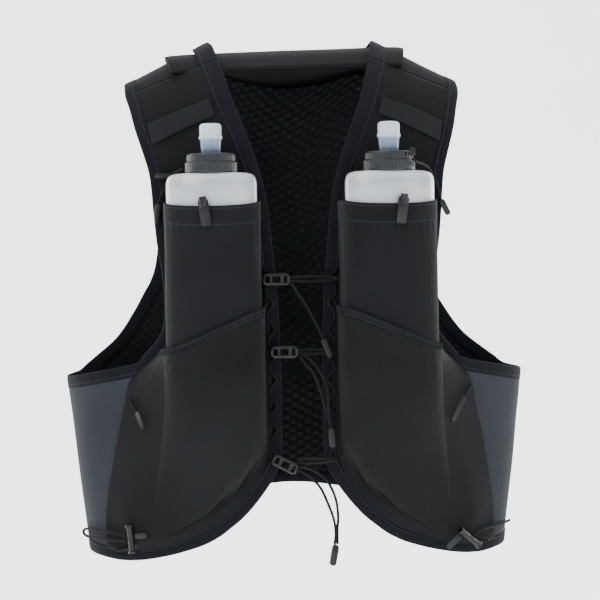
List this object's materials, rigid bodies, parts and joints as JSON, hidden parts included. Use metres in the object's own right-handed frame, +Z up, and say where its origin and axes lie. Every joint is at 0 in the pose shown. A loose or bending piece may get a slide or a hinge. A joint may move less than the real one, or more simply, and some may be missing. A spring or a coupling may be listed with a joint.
{
  "type": "running hydration vest",
  "caption": "Running vest in its worn form, with soft flasks in its chest pockets, lower pockets, cord fastenings at the sternum and pole loops at the lower corners.",
  "frame": {"origin": "midway between the two shoulder straps, at the height at which they sit on the shoulders", "axes": "+Z up along the worn vest, -Y out of its front, +X to the right as seen from the front"},
  "size_m": [0.4134, 0.1869, 0.4716],
  "materials": {
    "cloth": "fine matt stretch weave",
    "slate": "matt slate stretch weave",
    "mesh": "open honeycomb knit",
    "binding": "folded stretch tape with edge stitching",
    "webbing": "flat ribbed webbing",
    "elastic": "ribbed elastic with zigzag stitching",
    "flask": "milky translucent film",
    "cap": "satin moulded",
    "valve": "soft translucent silicone",
    "plastic": "satin moulded",
    "cord": "braided round cord"
  },
  "bodies": {
    "vest": {"back_panel": "cloth", "front_panel_left": "cloth", "front_panel_right": "cloth", "flask_pocket_left": "cloth", "flask_pocket_right": "cloth", "lower_pocket_left": "cloth", "lower_pocket_right": "cloth", "side_panel_left": "slate", "side_panel_right": "slate", "back_mesh": "mesh", "neck_binding": "binding", "hem_band": "binding", "armhole_binding_left": "binding", "armhole_binding_right": "binding", "front_binding_left": "binding", "front_binding_right": "binding", "gear_loop_left": "webbing", "gear_loop_right": "webbing", "pocket_hem_left": "elastic", "pocket_hem_right": "elastic", "flask_left": "flask", "flask_right": "flask", "sternum_hook_top": "plastic", "sternum_hook_middle": "plastic", "sternum_hook_low": "plastic", "sternum_end_top": "plastic", "sternum_end_middle": "plastic", "sternum_end_low": "plastic", "flask_cord_lock_left": "plastic", "flask_cord_lock_right": "plastic", "flask_cord_end_left": "plastic", "flask_cord_end_right": "plastic", "pole_toggle_left": "plastic", "pole_toggle_right": "plastic", "pole_anchor_left": "plastic", "pole_anchor_right": "plastic", "zip_pull_left": "plastic", "zip_pull_right": "plastic", "pocket_clip_left": "plastic", "pocket_clip_right": "plastic", "sternum_cord_top": "cord", "sternum_cord_middle": "cord", "sternum_cord_low": "cord", "sternum_tail_top": "cord", "sternum_tail_middle": "cord", "sternum_tail_middle_2": "cord", "sternum_tail_low": "cord", "sternum_tail_low_2": "cord", "lacing_left": "cord", "lacing_right": "cord", "flask_cord_left": "cord", "flask_cord_right": "cord", "pole_cord_left": "cord", "pole_cord_right": "cord", "zip_cord_left": "cord", "zip_cord_right": "cord"},
    "cap_left": {"flask_cap_left": "cap", "bite_valve_left": "valve"},
    "cap_right": {"flask_cap_right": "cap", "bite_valve_right": "valve"}
  },
  "joints": [
    {"name": "flask_cap_left_turn", "type": "hinge", "parent": "vest", "child": "cap_left", "pos_m": [-0.0787, -0.0913, -0.11], "axis": [0, 0, 1], "range_deg": [0, 360]},
    {"name": "flask_cap_right_turn", "type": "hinge", "parent": "vest", "child": "cap_right", "pos_m": [0.0787, -0.0913, -0.11], "axis": [0, 0, 1], "range_deg": [0, 360]}
  ]
}
